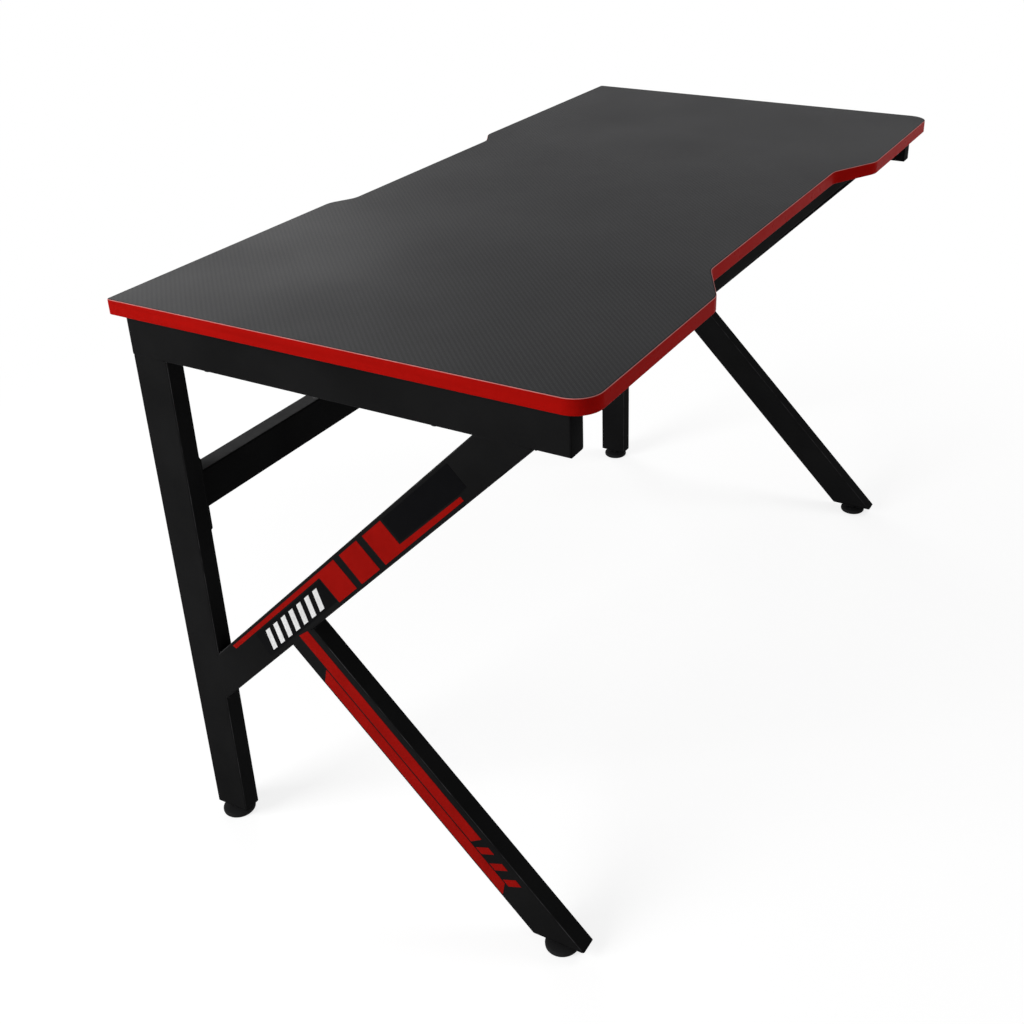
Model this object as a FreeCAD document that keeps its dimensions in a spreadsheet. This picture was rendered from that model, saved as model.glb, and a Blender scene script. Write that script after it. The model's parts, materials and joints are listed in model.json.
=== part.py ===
"""Gaming desk: a notched desktop on two K-shaped tube frames, two long rails and four levelling feet."""
import FreeCAD
import Part
import os
import re

# Driving sizes, in millimetres
SIZES = {
    "desk_length": 1200.0,
    "desk_depth": 600.0,
    "desk_height": 743.0,
    "top_thickness": 18.0,
    "film_thickness": 0.5,
    "band_thickness": 2.0,
    "band_round": 0.9,
    "front_corner_radius": 30.0,
    "rear_corner_radius": 4.0,
    "notch_round": 32.0,
    "front_notch_mouth": 600.0,
    "front_notch_floor": 450.0,
    "front_notch_depth": 38.5,
    "rear_notch_mouth": 406.0,
    "rear_notch_floor": 340.0,
    "rear_notch_depth": 18.0,
    "end_overhang": 10.0,
    "back_overhang": 15.0,
    "rail_front_overhang": 25.0,
    "tube_height": 50.0,
    "tube_width": 25.0,
    "tube_wall": 1.5,
    "tube_corner": 2.5,
    "strut_low_height": 241.0,
    "strut_top_setback": 76.0,
    "front_foot_setback": 56.0,
    "crossbar_height": 492.0,
    "front_rail_nut_room": 8.5,
    "flange_thickness": 3.0,
    "flange_inset": 2.0,
    "flange_bolt_margin": 12.0,
    "flange_edge": 13.0,
    "flange_corner": 5.0,
    "bolt_diameter": 6.0,
    "bolt_hole_clearance": 0.5,
    "thread_clearance": 0.05,
    "bolt_head_diameter": 10.5,
    "bolt_head_height": 3.3,
    "bolt_socket_width": 4.0,
    "bolt_socket_depth": 2.0,
    "flange_bolt_spare": 3.0,
    "washer_diameter": 12.0,
    "washer_thickness": 1.2,
    "weld_nut_width": 10.0,
    "weld_nut_height": 5.0,
    "top_bolt_margin": 50.0,
    "rail_bolt_pitch": 350.0,
    "bolt_end_gap": 2.0,
    "insert_diameter": 9.0,
    "insert_length": 13.0,
    "insert_clearance": 0.1,
    "cap_flange": 2.0,
    "cap_depth": 12.0,
    "plug_depth": 12.0,
    "plug_clearance": 0.2,
    "foot_gap": 0.5,
    "pad_diameter": 43.0,
    "pad_height": 8.0,
    "pad_round": 1.5,
    "pad_floor": 3.0,
    "boss_width": 13.0,
    "boss_height": 5.5,
    "stud_diameter": 8.0,
    "foot_travel": 8.0,
    "foot_nut_width": 13.0,
    "foot_nut_height": 6.5,
    "vinyl_thickness": 0.3,
    "strut_graphic_start": 60.0,
    "strut_graphic_end": 74.0,
    "leg_graphic_start": 82.0,
    "leg_graphic_lap": 4.0,
    "overrun": 2.0,
}

SIDES = {"left": -1, "right": 1}
RAIL_BOLT_SHARES = (0, 0.5, 1)
BEAM_BOLT_STEPS = (-1, 0, 1)
PARALLEL_SHARE = 0.999
HEXAGON_SIDES = 6

# Outlines of the vinyl, as shares of the graphic's length along the tube and of the tube's height across it
STRUT_RED_SHARES = (
    ((0.0, 0.42), (0.523, 0.42), (0.523, -0.41), (0.442, -0.41), (0.442, 0.31), (0.004, 0.31)),
    ((0.549, 0.41), (0.627, 0.41), (0.627, -0.41), (0.547, -0.41)),
    ((0.652, 0.40), (0.731, 0.40), (0.731, -0.26), (0.969, -0.29), (0.969, -0.40), (0.652, -0.41)),
)
STRUT_BLACK_SHARES = (
    ((0.108, 0.27), (0.437, 0.27), (0.437, -0.36), (0.098, -0.36)),
    ((0.738, 0.40), (1.0, 0.40), (1.0, -0.22), (0.969, -0.24), (0.738, -0.21)),
)
LEG_RED_SHARES = (
    ((0.196, 0.05), (0.186, -0.30), (0.995, -0.30), (1.0, 0.05)),
    ((0.003, 0.425), (0.032, 0.09), (0.870, 0.09), (0.843, 0.425)),
)

# Slanted marks: where the first begins along the graphic, its width, lean and pitch, and its two edges across
STRUT_MARK_SHARES = {
    "start_share": 0.125, "width_share": 0.020, "lean_share": 0.025, "pitch_share": 0.040,
    "low_share": -0.30, "high_share": 0.18,
}
STRUT_MARK_COUNT = 7
LEG_MARK_SHARES = {
    "start_share": 0.018, "width_share": 0.027, "lean_share": -0.019, "pitch_share": 0.064,
    "low_share": 0.05, "high_share": -0.30,
}
LEG_MARK_COUNT = 3

# Places worked out from the sizes, as formulas
UNDER_TOP = "(desk_height - top_thickness)"
RAIL_BOTTOM = f"({UNDER_TOP} - tube_height)"
FRAME_MIDDLE = "(desk_length / 2 - end_overhang - tube_width / 2)"
FRAME_INSIDE = "(desk_length / 2 - end_overhang - tube_width)"
FRAME_OUTSIDE = "(desk_length / 2 - end_overhang)"
LEG_BACK = "(desk_depth / 2 - back_overhang)"
LEG_FRONT = f"({LEG_BACK} - tube_height)"
LEG_MIDDLE = f"({LEG_BACK} - tube_height / 2)"
LEG_BOTTOM = "(pad_height + boss_height + foot_gap)"
LEG_CUT = f"({LEG_BOTTOM} + cap_flange)"
RAIL_FRONT = "(rail_front_overhang - desk_depth / 2)"
FRONT_FOOT = "(front_foot_setback - desk_depth / 2)"
FLANGE_PITCH = "(tube_height + 2 * flange_bolt_margin)"
FRONT_RAIL_MIDDLE = f"({RAIL_FRONT} + cap_flange + cap_depth + front_rail_nut_room + {FLANGE_PITCH} / 2)"
STRUT_TOP = f"({RAIL_FRONT} + strut_top_setback)"
STRUT_RUN = f"({LEG_FRONT} - {STRUT_TOP})"
STRUT_RISE = f"({RAIL_BOTTOM} - strut_low_height)"
STRUT_LENGTH = f"sqrt({STRUT_RUN}^2 + {STRUT_RISE}^2)"
SLOPE_SINE = f"({STRUT_RISE} / {STRUT_LENGTH})"
SLOPE_COSINE = f"({STRUT_RUN} / {STRUT_LENGTH})"
STRUT_TOP_BACK = f"({STRUT_TOP} + tube_height / 2 / {SLOPE_SINE})"
FRONT_LEG_REACH = (f"(({LEG_FRONT} - {FRONT_FOOT}) * {SLOPE_SINE}"
                   f" + (strut_low_height - {LEG_BOTTOM}) * {SLOPE_COSINE} - tube_height / 2)")
RAIL_MIDDLE_HEIGHT = f"({UNDER_TOP} - tube_height / 2)"
FLANGE_INSIDE = f"({FRAME_INSIDE} - flange_thickness)"

# Turns that lay a piece built along its own Z axis onto the desk's directions
UPRIGHT = FreeCAD.Rotation()
BACKWARD = FreeCAD.Rotation(FreeCAD.Vector(1, 0, 0), -90)
FORWARD = FreeCAD.Rotation(FreeCAD.Vector(1, 0, 0), 90)
LENGTHWISE = FreeCAD.Rotation(FreeCAD.Vector(1, 1, 1), 120)
OUTWARD = {
    "left": FreeCAD.Rotation(FreeCAD.Vector(0, 1, 0), -90),
    "right": FreeCAD.Rotation(FreeCAD.Vector(0, 1, 0), 90),
}

doc = FreeCAD.newDocument("gaming_desk")
sheet = doc.addObject("Spreadsheet::Sheet", "sizes")
for row, (alias, value) in enumerate(SIZES.items(), start=1):
    sheet.set(f"A{row}", alias)
    sheet.set(f"B{row}", str(value))
    sheet.setAlias(f"B{row}", alias)
doc.recompute()

# The braces' directions: the strut climbs to the front, and the front leg stands square to it
strut_run = (sheet.desk_depth - sheet.back_overhang - sheet.tube_height
             - sheet.rail_front_overhang - sheet.strut_top_setback)
strut_rise = sheet.desk_height - sheet.top_thickness - sheet.tube_height - sheet.strut_low_height
STRUT_ALONG = FreeCAD.Vector(0, -strut_run, strut_rise)
FRONT_LEG_ALONG = FreeCAD.Vector(0, strut_rise, strut_run)
STRUT_TURN = FreeCAD.Rotation(FreeCAD.Vector(0, 0, 1), STRUT_ALONG)
FRONT_LEG_TURN = FreeCAD.Rotation(FreeCAD.Vector(0, 0, 1), FRONT_LEG_ALONG)

nodes = []


# Building blocks
def in_sheet(formula):
    """Points each alias in a formula at its cell."""
    def cell(word):
        return f"sizes.{word.group()}" if word.group() in SIZES else word.group()
    return re.sub(r"[a-z_]+", cell, formula)


def bind(piece, prop, formula):
    """Ties a property of a piece to a formula in the sheet's aliases."""
    piece.setExpression(prop, in_sheet(formula))


def place(piece, where, turn=UPRIGHT):
    """Turns a piece and ties its place to three formulas."""
    piece.Placement = FreeCAD.Placement(FreeCAD.Vector(), turn)
    for axis, formula in zip("xyz", where):
        bind(piece, f"Placement.Base.{axis}", formula)
    return piece


def box(name, corner, size):
    piece = doc.addObject("Part::Box", name)
    for prop, formula in zip(("Length", "Width", "Height"), size):
        bind(piece, prop, formula)
    return place(piece, corner)


def cylinder(name, diameter, bottom, height):
    """A round bar along Z that starts at a height of its own."""
    piece = doc.addObject("Part::Cylinder", name)
    bind(piece, "Radius", f"({diameter}) / 2")
    bind(piece, "Height", height)
    return place(piece, ("0", "0", bottom))


def hexagon(name, width, bottom, height):
    """A six-sided bar along Z, measured across its flats."""
    piece = doc.addObject("Part::Prism", name)
    piece.Polygon = HEXAGON_SIDES
    bind(piece, "Circumradius", f"({width}) / sqrt(3)")
    bind(piece, "Height", height)
    return place(piece, ("0", "0", bottom))


def cut(name, base, tool):
    piece = doc.addObject("Part::Cut", name)
    piece.Base = base
    piece.Tool = tool
    return piece


def common(name, base, tool):
    piece = doc.addObject("Part::Common", name)
    piece.Base = base
    piece.Tool = tool
    return piece


def fuse(name, pieces):
    piece = doc.addObject("Part::MultiFuse", name)
    piece.Shapes = pieces
    return piece


def group(name, pieces):
    """Separate solids under one name."""
    piece = doc.addObject("Part::Compound", name)
    piece.Links = pieces
    return piece


def keep(name, piece):
    """Marks a finished piece as a node of the desk."""
    piece.Label = name
    nodes.append(piece)
    return piece


def rounded(name, base, radius_of):
    """Rounds each edge of a piece for which radius_of gives a radius."""
    doc.recompute()
    edges = []
    for index, edge in enumerate(base.Shape.Edges, start=1):
        radius = radius_of(edge)
        if radius:
            edges.append((index, radius, radius))
    piece = doc.addObject("Part::Fillet", name)
    piece.Base = base
    piece.Edges = edges
    return piece


def is_upright(edge):
    direction = edge.Vertexes[-1].Point - edge.Vertexes[0].Point
    return direction.Length > 0 and abs(direction.z) > PARALLEL_SHARE * direction.Length


def upright_radius(radius):
    """Picks the edges that run along Z, with one radius for all."""
    def radius_of(edge):
        return radius if is_upright(edge) else 0
    return radius_of


def level_radius(radius):
    """Picks the edges round the top and the bottom, with one radius for all."""
    def radius_of(edge):
        return 0 if is_upright(edge) else radius
    return radius_of


# Desktop
def notch(name, edge, inset):
    """The wedge that a recess takes out of the front or the rear edge of a board drawn in by an inset."""
    mouth, floor, depth = (f"{edge}_notch_{word}" for word in ("mouth", "floor", "depth"))
    run = f"(({mouth} - {floor}) / 2)"
    widening = f"({inset} * (sqrt({run}^2 + {depth}^2) - {run}) / {depth})"
    floor_half = f"({floor} / 2 + {widening})"
    mouth_half = f"({mouth} / 2 + {widening} + overrun * {run} / {depth})"
    floor_place = f"(desk_depth / 2 - {depth} - {inset})"
    mouth_place = f"(desk_depth / 2 - {inset} + overrun)"
    piece = doc.addObject("Part::Wedge", name)
    first, last = (mouth_half, floor_half) if edge == "front" else (floor_half, mouth_half)
    start, end = (f"-{mouth_place}", f"-{floor_place}") if edge == "front" else (floor_place, mouth_place)
    formulas = {
        "Xmin": f"-{first}", "Xmax": first, "X2min": f"-{last}", "X2max": last, "Ymin": start, "Ymax": end,
        "Zmin": "0", "Zmax": "2 * desk_height", "Z2min": "0", "Z2max": "2 * desk_height",
    }
    for prop, formula in formulas.items():
        bind(piece, prop, formula)
    return piece


def board(name, inset, bottom, height):
    """A board with the desktop's outline, drawn in by an inset on every side."""
    blank = box(
        f"{name}_blank",
        (f"{inset} - desk_length / 2", f"{inset} - desk_depth / 2", bottom),
        (f"desk_length - 2 * {inset}", f"desk_depth - 2 * {inset}", height),
    )
    wedges = [notch(f"{name}_{edge}_notch", edge, inset) for edge in ("front", "rear")]
    notched = cut(f"{name}_notched", blank, fuse(f"{name}_notches", wedges))
    drawn_in = SIZES.get(inset, 0)
    half_length = sheet.desk_length / 2 - drawn_in
    half_depth = sheet.desk_depth / 2 - drawn_in
    near = sheet.overrun

    def corner_radius(edge):
        if not is_upright(edge):
            return 0
        corner = edge.Vertexes[0].Point
        if abs(corner.x) > half_length - near:
            return (sheet.front_corner_radius if corner.y < 0 else sheet.rear_corner_radius) - drawn_in
        if abs(corner.y) > half_depth - near:
            return sheet.notch_round - drawn_in
        return sheet.notch_round + drawn_in
    return rounded(f"{name}_outline", notched, corner_radius)


def make_desktop(bolt_places):
    width = "insert_diameter + 2 * insert_clearance"
    holes = []
    for index, (x, y, z) in enumerate(bolt_places):
        drill = cylinder(f"insert_hole_{index}", width, "0", "insert_length + overrun")
        holes.append(place(drill, (x, y, f"{UNDER_TOP} - overrun")))
    drilling = fuse("insert_holes", holes)
    inset = "band_thickness"
    core = board("core", inset, f"{UNDER_TOP} + film_thickness", "top_thickness - 2 * film_thickness")
    keep("desktop_board", cut("drilled_core", core, drilling))
    under = board("under", inset, UNDER_TOP, "film_thickness")
    keep("desktop_under_film", cut("drilled_under_film", under, drilling))
    keep("desktop_top_film", board("top", inset, "desk_height - film_thickness", "film_thickness"))
    whole = board("band", "0", UNDER_TOP, "top_thickness")
    outer = rounded("band_outer", whole, level_radius(sheet.band_round))
    inner = board("band_inner", inset, f"{UNDER_TOP} - overrun", "top_thickness + 2 * overrun")
    keep("desktop_edge_band", cut("edge_band", outer, inner))


# Tubes
def bar(name, narrower, length):
    """A rectangular bar along Z, centred on its axis, narrower than the tubes by a given amount all round."""
    width = f"(tube_width - 2 * ({narrower}))"
    height = f"(tube_height - 2 * ({narrower}))"
    return box(name, (f"-{width} / 2", f"-{height} / 2", "0"), (width, height, length))


def outer_bar(name, length):
    return rounded(name, bar(f"{name}_blank", "0", length), upright_radius(sheet.tube_corner))


def tube(name, length):
    """A hollow rectangular tube along Z."""
    hollow = place(bar(f"{name}_hollow", "tube_wall", f"{length} + 2 * overrun"), (
        "tube_wall - tube_width / 2", "tube_wall - tube_height / 2", "-overrun"))
    return cut(name, outer_bar(f"{name}_bar", length), hollow)


def drilled(name, piece, holes):
    return cut(name, piece, fuse(f"{name}_holes", holes))


def across(side, distance):
    """The X of a place at a distance from the desk's middle, on the left or the right."""
    return f"{SIDES[side]} * {distance}"


def make_rail(side, flange_places, bolt_places):
    length = f"({LEG_BACK} - {RAIL_FRONT} - 2 * cap_flange)"
    blank = place(tube(f"{side}_rail_tube", length), (
        across(side, FRAME_MIDDLE), f"{RAIL_FRONT} + cap_flange", RAIL_MIDDLE_HEIGHT), BACKWARD)
    holes = [flange_hole(f"{side}_rail_hole_{index}", side, spot) for index, spot in enumerate(flange_places)]
    holes += [top_hole(f"{side}_rail_top_hole_{index}", spot) for index, spot in enumerate(bolt_places)]
    keep(f"{side}_top_rail", drilled(f"{side}_rail_drilled", blank, holes))


def make_back_leg(side, flange_places):
    blank = place(tube(f"{side}_back_tube", f"({RAIL_BOTTOM} - {LEG_CUT})"), (
        across(side, FRAME_MIDDLE), LEG_MIDDLE, LEG_CUT))
    holes = [flange_hole(f"{side}_leg_hole_{index}", side, spot) for index, spot in enumerate(flange_places)]
    keep(f"{side}_back_leg", drilled(f"{side}_back_drilled", blank, holes))


def make_strut(side):
    """The slanted tube from low on the back leg up to the rail, cut flush with both."""
    length = f"({STRUT_LENGTH} + 2 * tube_height)"
    blank = place(tube(f"{side}_strut_tube", length), (
        across(side, FRAME_MIDDLE), f"{LEG_FRONT} + tube_height * {SLOPE_COSINE}",
        f"strut_low_height - tube_height * {SLOPE_SINE}"), STRUT_TURN)
    room = box(f"{side}_strut_room", ("-desk_length", "-desk_depth", "0"), (
        "2 * desk_length", f"desk_depth + {LEG_FRONT}", RAIL_BOTTOM))
    keep(f"{side}_strut", common(f"{side}_strut_cut", blank, room))


def front_leg_start(side):
    """Where the front leg's axis starts, one tube height below the leg's end."""
    return (
        across(side, FRAME_MIDDLE), f"{FRONT_FOOT} - tube_height * {SLOPE_SINE}",
        f"{LEG_BOTTOM} - tube_height * {SLOPE_COSINE}",
    )


def make_front_leg(side):
    """The slanted tube from the strut's underside, met square, down to a level cut above the foot."""
    length = f"({FRONT_LEG_REACH} + tube_height)"
    blank = place(tube(f"{side}_front_tube", length), front_leg_start(side), FRONT_LEG_TURN)
    room = box(f"{side}_front_room", ("-desk_length", "-desk_depth", LEG_CUT), (
        "2 * desk_length", "2 * desk_depth", "desk_height"))
    keep(f"{side}_front_leg", common(f"{side}_front_cut", blank, room))


def make_beam(name, y, z, bolt_places):
    """A tube along the desk between the flanges on its two ends."""
    blank = place(tube(f"{name}_tube", f"(2 * {FLANGE_INSIDE})"), (f"-{FLANGE_INSIDE}", y, z), LENGTHWISE)
    if bolt_places:
        holes = [top_hole(f"{name}_top_hole_{index}", spot) for index, spot in enumerate(bolt_places)]
        blank = drilled(f"{name}_drilled", blank, holes)
    keep(name, blank)


# Flanges and fasteners
def flange_bolt_places(side, y, z, along):
    """The seats of the two bolt heads of a flange, set apart along Y or Z."""
    x = across(side, f"({FLANGE_INSIDE} - washer_thickness)")
    spots = []
    for step in SIDES.values():
        shift = f" + {step} * {FLANGE_PITCH} / 2"
        spots.append((x, y + shift, z) if along == "y" else (x, y, z + shift))
    return spots


def flange_hole(name, side, spot):
    drill = cylinder(name, "bolt_diameter + 2 * bolt_hole_clearance", "0",
                     "washer_thickness + flange_thickness + tube_wall + weld_nut_height")
    return place(drill, spot, OUTWARD[side])


def top_hole(name, spot):
    drill = cylinder(name, "bolt_diameter + 2 * bolt_hole_clearance", "0",
                     "washer_thickness + tube_height + overrun")
    return place(drill, spot)


def make_flange(name, side, y, z, along, spots):
    long_side = f"({FLANGE_PITCH} + 2 * flange_edge)"
    short_side = "(tube_height - 2 * flange_inset)"
    wide, tall = (long_side, short_side) if along == "y" else (short_side, long_side)
    blank = box(f"{name}_blank", (f"-{tall} / 2", f"-{wide} / 2", "0"), (tall, wide, "flange_thickness"))
    plate = place(
        rounded(f"{name}_plate", blank, upright_radius(sheet.flange_corner)),
        (across(side, FLANGE_INSIDE), y, z), OUTWARD[side])
    holes = [flange_hole(f"{name}_hole_{index}", side, spot) for index, spot in enumerate(spots)]
    keep(name, drilled(f"{name}_drilled", plate, holes))


def bolt(name, length):
    """A socket-head bolt along Z with its head's seat at zero."""
    shank = cylinder(f"{name}_shank", "bolt_diameter", "0", length)
    head = cylinder(f"{name}_head", "bolt_head_diameter", "-bolt_head_height", "bolt_head_height")
    socket = hexagon(f"{name}_socket", "bolt_socket_width", "-bolt_head_height - overrun",
                     "bolt_socket_depth + overrun")
    return cut(name, fuse(f"{name}_blank", [shank, head]), socket)


def ring(name, outside, bore, bottom, height):
    """A round sleeve or washer along Z."""
    hollow = cylinder(f"{name}_bore", bore, f"{bottom} - overrun", f"{height} + 2 * overrun")
    return cut(name, cylinder(f"{name}_blank", outside, bottom, height), hollow)


def nut(name, width, bore, bottom, height):
    hollow = cylinder(f"{name}_bore", bore, f"{bottom} - overrun", f"{height} + 2 * overrun")
    return cut(name, hexagon(f"{name}_blank", width, bottom, height), hollow)


def bolt_washer(name):
    return ring(name, "washer_diameter", "bolt_diameter + 2 * bolt_hole_clearance", "0", "washer_thickness")


def make_flange_fasteners(name, places_of):
    """The bolts, washers and weld nuts of one beam, each kind under one name."""
    seat = "washer_thickness + flange_thickness + tube_wall"
    bolts, washers, nuts = [], [], []
    for side, spots in places_of.items():
        for index, spot in enumerate(spots):
            mark = f"{name}_{side}_{index}"
            bolts.append(place(
                bolt(f"{mark}_bolt", f"{seat} + weld_nut_height + flange_bolt_spare"), spot, OUTWARD[side]))
            washers.append(place(bolt_washer(f"{mark}_washer"), spot, OUTWARD[side]))
            nuts.append(place(
                nut(f"{mark}_nut", "weld_nut_width", "bolt_diameter + 2 * thread_clearance", f"({seat})",
                    "weld_nut_height"), spot, OUTWARD[side]))
    keep(f"{name}_bolts", group(f"{name}_bolt_set", bolts))
    keep(f"{name}_washers", group(f"{name}_washer_set", washers))
    keep(f"{name}_weld_nuts", group(f"{name}_nut_set", nuts))


def make_desktop_fasteners(spots):
    """The long bolts up through the rails, with their washers and the inserts that they screw into."""
    grip = "washer_thickness + tube_height"
    bore = "bolt_diameter + 2 * thread_clearance"
    bolts, washers, inserts = [], [], []
    for index, spot in enumerate(spots):
        bolts.append(place(bolt(f"top_bolt_{index}", f"{grip} + insert_length - bolt_end_gap"), spot))
        washers.append(place(bolt_washer(f"top_washer_{index}"), spot))
        sleeve = ring(f"top_insert_{index}", "insert_diameter", bore, f"({grip})", "insert_length")
        inserts.append(place(sleeve, spot))
    keep("desktop_bolts", group("top_bolt_set", bolts))
    keep("desktop_washers", group("top_washer_set", washers))
    keep("desktop_inserts", group("top_insert_set", inserts))


# Caps, plugs and feet
def make_cap(name, where, turn):
    """A plastic cap that closes a rail's end, with its flange outside and its stem in the tube."""
    flange = outer_bar(f"{name}_flange", "cap_flange")
    stem = bar(f"{name}_stem", "tube_wall + plug_clearance", "cap_flange + cap_depth")
    keep(name, place(fuse(f"{name}_body", [flange, stem]), where, turn))


def slice_of(name, piece, bottom, height):
    """The part of a piece between two levels."""
    room = box(f"{name}_room", ("-desk_length", "-desk_depth", bottom), (
        "2 * desk_length", "2 * desk_depth", height))
    return common(name, piece, room)


def make_plug(name, where, turn, foot):
    """A plastic plug in a leg's level end, with a pocket for the foot's nut and a way for its stud."""
    flange_bar = place(outer_bar(f"{name}_flange_bar", "desk_height"), where, turn)
    stem_blank = bar(f"{name}_stem_blank", "tube_wall + plug_clearance", "desk_height")
    stem_bar = place(group(f"{name}_stem_bar", [stem_blank]), where, turn)
    flange = slice_of(f"{name}_flange", flange_bar, LEG_BOTTOM, "cap_flange")
    stem = slice_of(f"{name}_stem", stem_bar, LEG_BOTTOM, "cap_flange + plug_depth")
    way = place(
        cylinder(f"{name}_way", "stud_diameter + 2 * bolt_hole_clearance", "0", "desk_height"), (*foot, "0"))
    pocket = place(
        hexagon(f"{name}_pocket", "foot_nut_width + 2 * plug_clearance", "0", "foot_nut_height + overrun"),
        (*foot, f"{LEG_CUT} + plug_depth - foot_nut_height"))
    keep(name, drilled(f"{name}_drilled", fuse(f"{name}_blank", [flange, stem]), [way, pocket]))


def make_foot(name, foot):
    """A levelling foot: a pad with a hexagonal boss, and the stud that stands in it."""
    stud = cylinder(f"{name}_stud_bar", "stud_diameter", "0",
                    f"{LEG_CUT} + plug_depth + foot_travel - pad_floor")
    keep(f"{name}_stud", place(stud, (*foot, "pad_floor")))
    disc = rounded(f"{name}_disc", cylinder(f"{name}_blank", "pad_diameter", "0", "pad_height"),
                   level_radius(sheet.pad_round))
    boss = hexagon(f"{name}_boss", "boss_width", "0", "pad_height + boss_height")
    socket = cylinder(f"{name}_socket", "stud_diameter + 2 * thread_clearance", "pad_floor", "desk_height")
    pad = cut(f"{name}_pad_body", fuse(f"{name}_pad_blank", [disc, boss]), socket)
    keep(f"{name}_pad", place(pad, (*foot, "0")))


def make_foot_nuts(feet):
    bore = "stud_diameter + 2 * thread_clearance"
    nuts = []
    for name, foot in feet.items():
        blank = nut(f"{name}_nut", "foot_nut_width", bore, "0", "foot_nut_height")
        nuts.append(place(blank, (*foot, f"{LEG_CUT} + plug_depth - foot_nut_height")))
    keep("foot_nuts", group("foot_nut_set", nuts))


# Vinyl on the frames' outer faces
def slanted_marks(shares, count):
    """A row of leaning bars, as outlines."""
    outlines = []
    for index in range(count):
        start = shares["start_share"] + index * shares["pitch_share"]
        end = start + shares["width_share"]
        lean = shares["lean_share"]
        low, high = shares["low_share"], shares["high_share"]
        outlines.append(((start, low), (end, low), (end + lean, high), (start + lean, high)))
    return outlines


def vinyl(name, side, outlines, span, where, turn, layer=0):
    """Thin sheets on a tube's outer face, with outlines along and across the tube's own axis."""
    begin, length = span
    outward = FreeCAD.Vector(SIDES[side] * sheet.vinyl_thickness, 0, 0)
    sheets = []
    for outline in outlines:
        points = [
            outward * layer + FreeCAD.Vector(0, sheet.tube_height * rise, begin + length * share)
            for share, rise in outline
        ]
        sheets.append(Part.Face(Part.makePolygon(points + points[:1])).extrude(outward))
    piece = doc.addObject("Part::Feature", f"{name}_sheets")
    piece.Shape = Part.makeCompound(sheets)
    keep(name, place(piece, where, turn))


def make_vinyl(side):
    face = across(side, FRAME_OUTSIDE)
    strut_length = STRUT_ALONG.Length - sheet.strut_graphic_start - sheet.strut_graphic_end
    strut_span = (sheet.strut_graphic_start, strut_length)
    strut = (strut_span, (face, LEG_FRONT, "strut_low_height"), STRUT_TURN)
    leg_bar = doc.getObject(f"{side}_front_tube_bar_blank")
    leg_length = leg_bar.Height.Value - sheet.tube_height + sheet.leg_graphic_lap - sheet.leg_graphic_start
    leg = ((sheet.leg_graphic_start, leg_length), (face, FRONT_FOOT, LEG_BOTTOM), FRONT_LEG_TURN)
    marks = slanted_marks(STRUT_MARK_SHARES, STRUT_MARK_COUNT)
    leg_outlines = list(LEG_RED_SHARES) + slanted_marks(LEG_MARK_SHARES, LEG_MARK_COUNT)
    vinyl(f"{side}_strut_red_vinyl", side, STRUT_RED_SHARES, *strut)
    vinyl(f"{side}_strut_black_vinyl", side, STRUT_BLACK_SHARES, *strut)
    vinyl(f"{side}_strut_white_vinyl", side, marks, *strut, layer=1)
    vinyl(f"{side}_leg_red_vinyl", side, leg_outlines, *leg)


# Assembly
crossbar_spots = {side: flange_bolt_places(side, LEG_MIDDLE, "crossbar_height", "z") for side in SIDES}
front_rail_spots = {
    side: flange_bolt_places(side, FRONT_RAIL_MIDDLE, RAIL_MIDDLE_HEIGHT, "y") for side in SIDES}
bolt_seat = f"({RAIL_BOTTOM} - washer_thickness)"
top_bolt_span = f"({LEG_FRONT} - {STRUT_TOP_BACK} - 2 * top_bolt_margin)"
rail_top_spots = {
    side: [
        (across(side, FRAME_MIDDLE), f"{LEG_FRONT} - top_bolt_margin - {share} * {top_bolt_span}", bolt_seat)
        for share in RAIL_BOLT_SHARES
    ]
    for side in SIDES
}
beam_top_spots = [
    (f"{step} * rail_bolt_pitch", FRONT_RAIL_MIDDLE, bolt_seat)
    for step in BEAM_BOLT_STEPS
]
all_top_spots = rail_top_spots["left"] + rail_top_spots["right"] + beam_top_spots

make_desktop(all_top_spots)
for side in SIDES:
    make_rail(side, front_rail_spots[side], rail_top_spots[side])
    make_back_leg(side, crossbar_spots[side])
    make_strut(side)
    make_front_leg(side)
    make_cap(f"{side}_rail_front_cap", (across(side, FRAME_MIDDLE), RAIL_FRONT, RAIL_MIDDLE_HEIGHT), BACKWARD)
    make_cap(f"{side}_rail_rear_cap", (across(side, FRAME_MIDDLE), LEG_BACK, RAIL_MIDDLE_HEIGHT), FORWARD)
    make_flange(
        f"crossbar_{side}_flange", side, LEG_MIDDLE, "crossbar_height", "z", crossbar_spots[side])
    make_flange(
        f"front_rail_{side}_flange", side, FRONT_RAIL_MIDDLE, RAIL_MIDDLE_HEIGHT, "y", front_rail_spots[side])
    make_vinyl(side)
make_beam("rear_crossbar", LEG_MIDDLE, "crossbar_height", [])
make_beam("front_rail", FRONT_RAIL_MIDDLE, RAIL_MIDDLE_HEIGHT, beam_top_spots)
make_flange_fasteners("crossbar", crossbar_spots)
make_flange_fasteners("front_rail", front_rail_spots)
make_desktop_fasteners(all_top_spots)

feet = {}
for side in SIDES:
    back_foot = (across(side, FRAME_MIDDLE), LEG_MIDDLE)
    front_foot = (across(side, FRAME_MIDDLE), FRONT_FOOT)
    make_plug(f"{side}_back_plug", (*back_foot, "0"), UPRIGHT, back_foot)
    make_plug(f"{side}_front_plug", front_leg_start(side), FRONT_LEG_TURN, front_foot)
    feet[f"{side}_back_foot"] = back_foot
    feet[f"{side}_front_foot"] = front_foot
for name, foot in feet.items():
    make_foot(name, foot)
make_foot_nuts(feet)

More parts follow.
